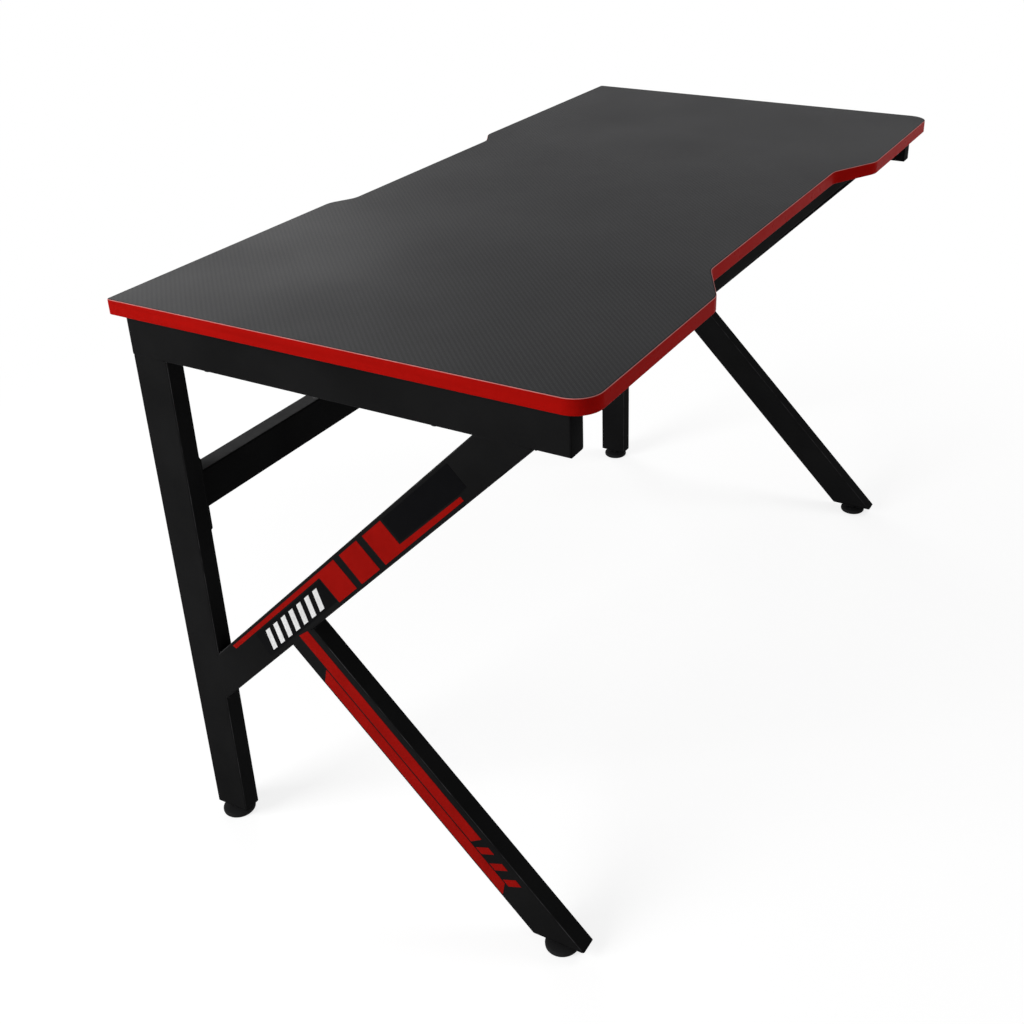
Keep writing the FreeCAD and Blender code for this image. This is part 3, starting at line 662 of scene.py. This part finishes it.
FINISHES = {}


def finish_of(context, slot):
    """The finish of a material slot, made on first use."""
    sizes, colours = context.scene.desk_sizes, context.scene.desk_colours
    makers = {
        "board": lambda: chip_board(colours),
        "top_film": lambda: carbon_film(sizes, colours),
        "under_film": lambda: matt_film(colours),
        "edge_band": lambda: edge_band(colours),
        "frame_paint": lambda: powder_coat(colours),
        "black_plastic": lambda: moulded_plastic("black_plastic", colours.plastic),
        "foot_plastic": lambda: moulded_plastic("foot_plastic", colours.foot),
        "dark_steel": lambda: plated_metal("black_zinc", colours.black_zinc),
        "zinc_steel": lambda: plated_metal("bright_zinc", colours.bright_zinc),
        "insert_metal": lambda: plated_metal("brass", colours.brass),
        "red_vinyl": lambda: printed_vinyl("red_print", colours.red_print),
        "black_vinyl": lambda: printed_vinyl("black_print", colours.black_print),
        "white_vinyl": lambda: printed_vinyl("white_print", colours.white_print),
    }
    if slot not in FINISHES:
        FINISHES[slot] = makers[slot]()
    return FINISHES[slot]


def dress(context, names):
    """Gives nodes the finish of their own slots."""
    for name in names:
        node = frame["nodes"][name]
        if not node.material_slots:
            raise RuntimeError(f"{name} has no material slot")
        for slot in node.material_slots:
            slot.material = finish_of(context, SLOT_OF[name])


# Desktop
class DESK_OT_desktop(bpy.types.Operator):
    """Finishes the desktop's board, its films and its edge band"""

    bl_idname = "desk.desktop"
    bl_label = "Desktop"

    def execute(self, context):
        dress(context, [f"desktop_{layer}" for layer in DESKTOP_LAYERS])
        return {"FINISHED"}


# Welds
def weld_bead(shape, run, width, pitch, draw):
    """A rippled bead along Z, with two steps to a ripple."""
    count = max(BEAD_LEAST_STEPS, round(run / pitch * 2))
    step = run / count
    made = bmesh.ops.create_circle(shape, cap_ends=True, segments=BEAD_SIDES, radius=width / 2)
    face = made["verts"][0].link_faces[0]
    size = BEAD_END_SHARE
    bmesh.ops.scale(shape, vec=(size, size, 1), verts=made["verts"])
    for index in range(1, count + 1):
        wanted = 1.0 if index % 2 else BEAD_WAIST_SHARE
        if index == count:
            wanted = BEAD_END_SHARE
        wanted *= draw.uniform(1 - BEAD_UNEVEN_SHARE, 1 + BEAD_UNEVEN_SHARE)
        made = bmesh.ops.extrude_face_region(shape, geom=[face])["geom"]
        bmesh.ops.delete(shape, geom=[face], context="FACES_ONLY")
        face = next(item for item in made if isinstance(item, bmesh.types.BMFace))
        grow = wanted / size
        middle = face.calc_center_median()
        bmesh.ops.scale(
            shape, vec=(grow, grow, 1), verts=face.verts, space=Matrix.Translation(-middle))
        bmesh.ops.translate(shape, vec=(0, 0, step), verts=face.verts)
        size = wanted


def add_bead(whole, start, end, sizes, draw):
    """Adds a weld bead from one point to another."""
    run = (end - start).length
    add_shape(whole, placing(start, end), weld_bead, run, sizes.bead_width, sizes.bead_pitch, draw)


def ground_weld(shape, run, width, depth):
    """A flat strip along Z with softened edges, its outer face at zero in X."""
    add_box(shape, (-depth / 2, 0, run / 2), (depth, width, run))
    soften(shape, shape.edges[:], depth * GROUND_SOFT_SHARE, SOFT_SEGMENTS)


def frame_seams(side):
    """The lines along which the tubes of an end frame meet, seen from the end: pairs of places in Y and Z."""
    rail_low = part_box(f"{side}_top_rail")[0].z
    leg_low, leg_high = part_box(f"{side}_back_leg")
    strut_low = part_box(f"{side}_strut")[0]
    front_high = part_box(f"{side}_front_leg")[1]
    tube_height = leg_high.y - leg_low.y
    slope = math.atan2(rail_low - strut_low.z, leg_low.y - strut_low.y)
    rise = math.tan(slope)
    return (
        ((leg_low.y, rail_low), (leg_high.y, rail_low)),
        ((strut_low.y, rail_low), (strut_low.y + tube_height / math.sin(slope), rail_low)),
        ((leg_low.y, strut_low.z), (leg_low.y, strut_low.z + tube_height / math.cos(slope))),
        ((front_high.y, strut_low.z + (leg_low.y - front_high.y) * rise),
         (leg_low.y - (front_high.z - strut_low.z) / rise, front_high.z)),
    )


def end_frame_welds(side, sizes, draw):
    """The ground welds on an end frame's outer face, and the beads inside it and across its tubes."""
    low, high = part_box(f"{side}_top_rail")
    outer, inner = (low.x, high.x) if side == "left" else (high.x, low.x)
    outward = SIDEWAYS if outer > inner else -SIDEWAYS
    sunk = outward * (abs(outer) - sizes.ground_sink)
    inside = Vector((inner, 0, 0))
    near = inside + outward * sizes.tube_corner
    far = Vector((outer, 0, 0)) - outward * sizes.tube_corner
    ground, beads = bmesh.new(), bmesh.new()
    for start, end in frame_seams(side):
        first, last = Vector((0, *start)), Vector((0, *end))
        trim = (last - first).normalized() * sizes.tube_corner * WELD_TRIM_SHARE
        add_shape(ground, placing(sunk + first + trim, sunk + last - trim, outward), ground_weld,
                  (last - first - 2 * trim).length, sizes.ground_width, sizes.ground_depth)
        add_bead(beads, inside + first + trim, inside + last - trim, sizes, draw)
        for spot in (first, last):
            # No bead runs across at the rail's rear end
            if spot.y < high.y - sizes.tube_corner:
                add_bead(beads, near + spot, far + spot, sizes, draw)
    return ground, beads


class DESK_OT_end_frames(bpy.types.Operator):
    """Powder-coats the end frames, and adds their ground welds and weld beads"""

    bl_idname = "desk.end_frames"
    bl_label = "End frames"

    def execute(self, context):
        sizes = context.scene.desk_sizes
        paint = finish_of(context, "frame_paint")
        draw = random.Random(sizes.weld_seed)
        for side in SIDES:
            dress(context, [f"{side}_{tube}" for tube in END_FRAME_TUBES])
            ground, beads = end_frame_welds(side, sizes, draw)
            add_piece(f"{side}_frame_ground_welds", ground, paint, FRAME_BODY)
            add_piece(f"{side}_frame_weld_beads", beads, paint, FRAME_BODY)
        return {"FINISHED"}


class DESK_OT_beams(bpy.types.Operator):
    """Powder-coats the crossbar and the front rail with their flanges, and welds the flanges on"""

    bl_idname = "desk.beams"
    bl_label = "Crossbar and front rail"

    def execute(self, context):
        sizes = context.scene.desk_sizes
        paint = finish_of(context, "frame_paint")
        draw = random.Random(sizes.weld_seed)
        inset = sizes.tube_corner
        for name, beam in BEAM_OF.items():
            dress(context, [beam, *(f"{name}_{side}_flange" for side in SIDES)])
            low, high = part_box(beam)
            front, back = low.y + inset, high.y - inset
            bottom, top = low.z + inset, high.z - inset
            beads = bmesh.new()
            for x in (low.x, high.x):
                for y in (low.y, high.y):
                    add_bead(beads, Vector((x, y, bottom)), Vector((x, y, top)), sizes, draw)
                for z in (low.z, high.z):
                    add_bead(beads, Vector((x, front, z)), Vector((x, back, z)), sizes, draw)
            add_piece(f"{name}_weld_beads", beads, paint, FRAME_BODY)
        return {"FINISHED"}


# Caps and plugs
def rail_cap(shape, width, height, stem, sizes):
    """A cap along Z: its outer plate from zero, rounded, and behind it the stem that fills the tube."""
    flange, gap, lead = sizes.cap_flange, sizes.stem_gap, sizes.stem_lead
    add_box(shape, (0, 0, flange / 2), (width, height, flange))
    upright = [edge for edge in shape.edges if edge.verts[0].co.z != edge.verts[1].co.z]
    soften(shape, upright, sizes.tube_corner, CORNER_SEGMENTS)
    outer = [edge for edge in shape.edges if all(vert.co.z < flange / 2 for vert in edge.verts)]
    soften(shape, outer, sizes.cap_round, CORNER_SEGMENTS)
    middle = flange + stem / 2
    corners = add_box(shape, (0, 0, middle), (width - 2 * gap, height - 2 * gap, stem))
    far = [vert for vert in corners if vert.co.z > middle]
    bmesh.ops.scale(shape, vec=(1 - 2 * lead / width, 1 - 2 * lead / height, 1), verts=far)


class DESK_OT_caps(bpy.types.Operator):
    """Models the rails' end caps, and finishes the plugs in the legs"""

    bl_idname = "desk.caps"
    bl_label = "Caps and plugs"

    def execute(self, context):
        sizes = context.scene.desk_sizes
        plastic = finish_of(context, "black_plastic")
        for side in SIDES:
            dress(context, [f"{side}_{end}_plug" for end in ENDS])
            for end, inward in (("front", 1), ("rear", -1)):
                node = f"{side}_rail_{end}_cap"
                low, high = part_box(node)
                size = high - low
                along = Vector((0, inward, 0))
                middle = (low + high) / 2
                middle.y = low.y if inward > 0 else high.y
                whole = bmesh.new()
                add_shape(whole, placing(middle, middle + along, UP.cross(along)), rail_cap,
                          size.x, size.z, size.y - sizes.cap_flange, sizes)
                add_piece(f"{side}_{end}_rail_cap", whole, plastic, FRAME_BODY, [node])
        return {"FINISHED"}


# Feet
def pad_disc(shape, radius, bore, sizes):
    """A pad's disc with a hollow sole, rounded rims, a slightly domed top and the stud's socket."""
    height, floor, rise = sizes.pad_height, sizes.socket_floor, sizes.sole_rise
    shoulder = height - sizes.pad_fall
    spin_profile(shape, (
        (0, rise), (radius * SOLE_INNER_SHARE, rise), (radius * SOLE_OUTER_SHARE, 0), (radius, 0),
        (radius, shoulder), (radius * CROWN_SHARE, height), (bore, height), (bore, floor), (0, floor),
    ), PAD_STEPS)
    round_rings(shape, ((radius, 0, sizes.rim_low), (radius, shoulder, sizes.rim_high)), CORNER_SEGMENTS)


def pad_boss(shape, top, bore, sizes):
    """A hexagonal boss on a pad's disc, with a round hole."""
    low = sizes.pad_height
    outer = hexagon(shape, sizes.boss_width, low)
    inner = circle(shape, bore, low)
    bmesh.ops.bridge_loops(shape, edges=outer + inner)
    made = bmesh.ops.extrude_face_region(shape, geom=shape.faces[:])["geom"]
    raised = [item for item in made if isinstance(item, bmesh.types.BMVert)]
    bmesh.ops.translate(shape, vec=(0, 0, top - low), verts=raised)
    hole = bore + MERGE_DISTANCE
    sharp = [
        edge for edge in shape.edges
        if len(edge.link_faces) == 2 and edge.calc_face_angle() > math.radians(SHARP_DEGREES)
        and all(vert.co.xy.length > hole for vert in edge.verts)
    ]
    soften(shape, sharp, sizes.boss_round, SOFT_SEGMENTS)


def threaded_stud(shape, radius, run, pitch, depth):
    """A stud along Z with a thread that winds up it, cut off square at both ends."""
    turns = math.ceil(run / pitch) + THREAD_SPARE_TURNS
    root = radius - depth
    end_share = CREST_SHARE + ROOT_SHARE
    turn = ((root, 0), (root, ROOT_SHARE), (radius, CREST_SHARE), (radius, end_share), (root, 1))
    line = profile_line(shape, [(place, pitch * share - pitch) for place, share in turn])
    bmesh.ops.spin(
        shape, geom=line, cent=(0, 0, 0), axis=UP, dvec=(0, 0, pitch / THREAD_STEPS),
        angle=2 * math.pi * turns, steps=THREAD_STEPS * turns, use_merge=False, use_duplicate=False)
    bmesh.ops.remove_doubles(shape, verts=shape.verts, dist=MERGE_DISTANCE)
    for height, facing in ((0, -1), (run, 1)):
        everything = shape.verts[:] + shape.edges[:] + shape.faces[:]
        bmesh.ops.bisect_plane(
            shape, geom=everything, dist=MERGE_DISTANCE, plane_co=(0, 0, height), plane_no=(0, 0, facing),
            clear_outer=True)
        rim = [edge for edge in shape.edges if edge.is_boundary
               and all(abs(vert.co.z - height) < LEVEL_DISTANCE for vert in edge.verts)]
        bmesh.ops.holes_fill(shape, edges=rim, sides=0)


class DESK_OT_feet(bpy.types.Operator):
    """Models the four levelling feet: pads with their bosses, and threaded studs"""

    bl_idname = "desk.feet"
    bl_label = "Levelling feet"

    def execute(self, context):
        dress(context, ["foot_nuts"])
        for side in SIDES:
            for end in ENDS:
                self.make_foot(context, f"{side}_{end}")
        return {"FINISHED"}

    def make_foot(self, context, corner):
        """The pad and the stud at one corner of the desk."""
        sizes = context.scene.desk_sizes
        foot = f"{corner}_foot"
        stud_low, stud_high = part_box(f"{foot}_stud")
        pad_low, pad_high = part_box(f"{foot}_pad")
        middle = (stud_low + stud_high) / 2
        axis = Matrix.Translation((middle.x, middle.y, 0))
        stud_radius = (stud_high.x - stud_low.x) / 2
        bore = stud_radius + sizes.socket_gap
        pad, stud = bmesh.new(), bmesh.new()
        add_shape(pad, axis, pad_disc, (pad_high.x - pad_low.x) / 2, bore, sizes)
        add_shape(pad, axis, pad_boss, pad_high.z, bore, sizes)
        add_piece(f"{foot}_disc", pad, finish_of(context, "foot_plastic"), f"{corner}_pad",
                  [f"{foot}_pad"])
        add_shape(stud, axis @ Matrix.Translation((0, 0, stud_low.z)), threaded_stud, stud_radius,
                  stud_high.z - stud_low.z, sizes.thread_pitch, sizes.thread_depth)
        add_piece(f"{foot}_screw", stud, finish_of(context, "zinc_steel"), f"{corner}_stud",
                  [f"{foot}_stud"])


# Fasteners
def socket_bolt(shape, head_width, run, sizes):
    """A bolt along Z with its head's seat at zero: a chamfered head with a hexagonal socket below it."""
    head, shank, chamfer = head_width / 2, sizes.shank_width / 2, sizes.head_chamfer
    crown = circle(shape, head - chamfer, -sizes.head_height)
    key = hexagon(shape, sizes.key_width, -sizes.head_height)
    bmesh.ops.bridge_loops(shape, edges=crown + key)
    floor = pull(shape, key, sizes.key_depth)
    bmesh.ops.edgeloop_fill(shape, edges=floor)
    rim = pull(shape, crown, chamfer, head / (head - chamfer))
    rim = pull(shape, rim, sizes.head_height - chamfer)
    rim = pull(shape, rim, 0, shank / head)
    rim = pull(shape, rim, run - chamfer)
    rim = pull(shape, rim, chamfer, 1 - chamfer / shank)
    bmesh.ops.edgeloop_fill(shape, edges=rim)


def flat_washer(shape, radius, thickness, sizes):
    """A washer along Z from zero, with rounded outer edges."""
    bore, rounding = sizes.washer_bore / 2, sizes.washer_round
    spin_profile(shape, (
        (bore, 0), (radius, 0), (radius, thickness), (bore, thickness), (bore, 0)), WASHER_STEPS)
    bmesh.ops.recalc_face_normals(shape, faces=shape.faces)
    round_rings(shape, ((radius, 0, rounding), (radius, thickness, rounding)), SOFT_SEGMENTS)


def fastener_places(name, kind, head=0):
    """Where fasteners sit, up into the desktop or outwards through a flange, with their boxes and lengths."""
    for low, high in loose_parts(f"{name}_{kind}"):
        middle, size = (low + high) / 2, high - low
        along = SIDEWAYS if middle.x > 0 else -SIDEWAYS
        if name == "desktop":
            along = UP
        run = abs(size.dot(along))
        seat = middle - along * (run / 2 - head)
        yield placing(seat, seat + along), size, run


class DESK_OT_fasteners(bpy.types.Operator):
    """Models the bolts and washers, and finishes the nuts and inserts inside the frame"""

    bl_idname = "desk.fasteners"
    bl_label = "Fasteners"

    def execute(self, context):
        sizes = context.scene.desk_sizes
        steel = finish_of(context, "dark_steel")
        dress(context, ["desktop_inserts", *(f"{name}_weld_nuts" for name in BEAM_OF)])
        for name in ("desktop", *BEAM_OF):
            bolts, washers = bmesh.new(), bmesh.new()
            for place, size, run in fastener_places(name, "bolts", sizes.head_height):
                add_shape(bolts, place, socket_bolt, min(size), run - sizes.head_height, sizes)
            for place, size, run in fastener_places(name, "washers"):
                add_shape(washers, place, flat_washer, max(size) / 2, run, sizes)
            add_piece(f"{name}_socket_bolts", bolts, steel, FRAME_BODY, [f"{name}_bolts"])
            add_piece(f"{name}_flat_washers", washers, steel, FRAME_BODY, [f"{name}_washers"])
        return {"FINISHED"}


# Vinyl
class DESK_OT_vinyl(bpy.types.Operator):
    """Finishes the printed vinyl on the end frames"""

    bl_idname = "desk.vinyl"
    bl_label = "Vinyl"

    def execute(self, context):
        dress(context, [node for node in SLOT_OF if node.endswith("_vinyl")])
        return {"FINISHED"}


# Stage
def seen_share(tree):
    """One for rays that should show a plain white background: those of the camera, gloss and glass."""
    rays = add_node(tree, "ShaderNodeLightPath", {}).outputs
    total = rays["Is Camera Ray"]
    for ray in ("Is Glossy Ray", "Is Transmission Ray"):
        total = add_node(tree, "ShaderNodeMath", {0: total, 1: rays[ray]}, operation="MAXIMUM").outputs[0]
    return total


def floor_finish(stage):
    """Pale and matt, turning to plain white away from the desk."""
    floor = Finish("pale_floor", {
        "Base Color": tint(stage.floor), "Specular IOR Level": 0.0, "Roughness": FLOOR_ROUGH_SHARE})
    distance = floor.add("ShaderNodeVectorMath", {0: floor.place}, operation="LENGTH").outputs["Value"]
    clear = floor.fit(distance, (stage.floor_near, stage.floor_clear), (stage.glow, 1.0), "SMOOTHSTEP")
    seen = seen_share(floor.tree)
    lift = floor.add("ShaderNodeEmission", {"Strength": floor.reckon("MULTIPLY", seen, stage.lift)})
    shaded = floor.add("ShaderNodeAddShader", {0: floor.shader.outputs[0], 1: lift.outputs[0]})
    white = floor.add("ShaderNodeEmission", {"Strength": 1.0})
    share = floor.reckon("MULTIPLY", clear, seen)
    mixed = floor.add("ShaderNodeMixShader", {0: share, 1: shaded.outputs[0], 2: white.outputs[0]})
    feed(floor.tree, floor.tree.nodes["Material Output"], {"Surface": mixed.outputs[0]})
    return floor.material


def add_floor(scene, stage):
    """A wide, plain floor under the desk."""
    sheet = bmesh.new()
    bmesh.ops.create_grid(sheet, x_segments=1, y_segments=1, size=stage.floor_size)
    mesh = bpy.data.meshes.new("studio_floor")
    sheet.to_mesh(mesh)
    sheet.free()
    mesh.materials.append(floor_finish(stage))
    floor = bpy.data.objects.new("studio_floor", mesh)
    scene.collection.objects.link(floor)


def add_lamps(scene, stage):
    """The soft lamps, each turned towards its aim."""
    for power, (place, aim, width) in LAMPS.items():
        name = f"{power}_lamp"
        lamp = bpy.data.lights.new(name, "AREA")
        lamp.size = width
        lamp.energy = getattr(stage, power)
        holder = bpy.data.objects.new(name, lamp)
        holder.location = place
        view = Vector(aim) - Vector(place)
        holder.rotation_euler = view.to_track_quat("-Z", "Y").to_euler()
        scene.collection.objects.link(holder)


def set_world(scene, stage):
    """Even light from all round, behind a plain white background."""
    world = bpy.data.worlds.new("studio")
    world.use_nodes = True
    tree = world.node_tree
    light = tree.nodes["Background"]
    feed(tree, light, {"Color": WHITE, "Strength": stage.sky})
    white = add_node(tree, "ShaderNodeBackground", {"Color": WHITE})
    backdrops = {0: seen_share(tree), 1: light.outputs[0], 2: white.outputs[0]}
    mixed = add_node(tree, "ShaderNodeMixShader", backdrops)
    feed(tree, tree.nodes["World Output"], {"Surface": mixed.outputs[0]})
    scene.world = world


def set_camera(scene, stage):
    """The camera at its place, turned by its heading, tilt and roll."""
    level = math.cos(stage.tilt)
    view = Vector((level * math.cos(stage.heading), level * math.sin(stage.heading), -math.sin(stage.tilt)))
    right = view.cross(UP).normalized()
    down = view.cross(right)
    cosine, sine = math.cos(stage.roll), math.sin(stage.roll)
    axes = (right * cosine + down * sine, right * sine - down * cosine, -view)
    camera = bpy.data.cameras.new("camera")
    camera.sensor_width = stage.sensor
    camera.lens = stage.lens
    camera.shift_x, camera.shift_y = stage.shift
    holder = bpy.data.objects.new("camera", camera)
    holder.matrix_world = Matrix.Translation(stage.camera_place) @ Matrix(axes).transposed().to_4x4()
    scene.collection.objects.link(holder)
    scene.camera = holder


class DESK_OT_stage(bpy.types.Operator):
    """Sets the floor, the lamps, the background and the camera"""

    bl_idname = "desk.stage"
    bl_label = "Stage"

    def execute(self, context):
        scene, stage = context.scene, context.scene.desk_stage
        add_floor(scene, stage)
        add_lamps(scene, stage)
        set_world(scene, stage)
        set_camera(scene, stage)
        scene.view_settings.view_transform = "Standard"
        return {"FINISHED"}


# Panel and registration
class DESK_PT_panel(bpy.types.Panel):
    """Lists the desk's pieces, its sizes, its colours and its stage"""

    bl_idname = "DESK_PT_panel"
    bl_label = "Gaming Desk"
    bl_space_type = "VIEW_3D"
    bl_region_type = "UI"
    bl_category = "Desk"

    def draw(self, context):
        for operator in OPERATORS:
            self.layout.operator(operator.bl_idname)
        for name, group in GROUPS.items():
            box = self.layout.box()
            for setting in group.__annotations__:
                box.prop(getattr(context.scene, name), setting)


OPERATORS = (
    DESK_OT_desktop, DESK_OT_end_frames, DESK_OT_beams, DESK_OT_caps, DESK_OT_feet, DESK_OT_fasteners,
    DESK_OT_vinyl, DESK_OT_stage,
)
GROUPS = {"desk_sizes": DeskSizes, "desk_colours": DeskColours, "desk_stage": StageSettings}
CLASSES = (*GROUPS.values(), *OPERATORS, DESK_PT_panel)


def register():
    for kind in CLASSES:
        bpy.utils.register_class(kind)
    for name, group in GROUPS.items():
        setattr(bpy.types.Scene, name, PointerProperty(type=group))


def unregister():
    for name in GROUPS:
        delattr(bpy.types.Scene, name)
    for kind in reversed(CLASSES):
        bpy.utils.unregister_class(kind)


def main():
    register()
    bpy.ops.desk.desktop()
    bpy.ops.desk.end_frames()
    bpy.ops.desk.beams()
    bpy.ops.desk.caps()
    bpy.ops.desk.feet()
    bpy.ops.desk.fasteners()
    bpy.ops.desk.vinyl()
    bpy.ops.desk.stage()


if __name__ == "__main__":
    main()
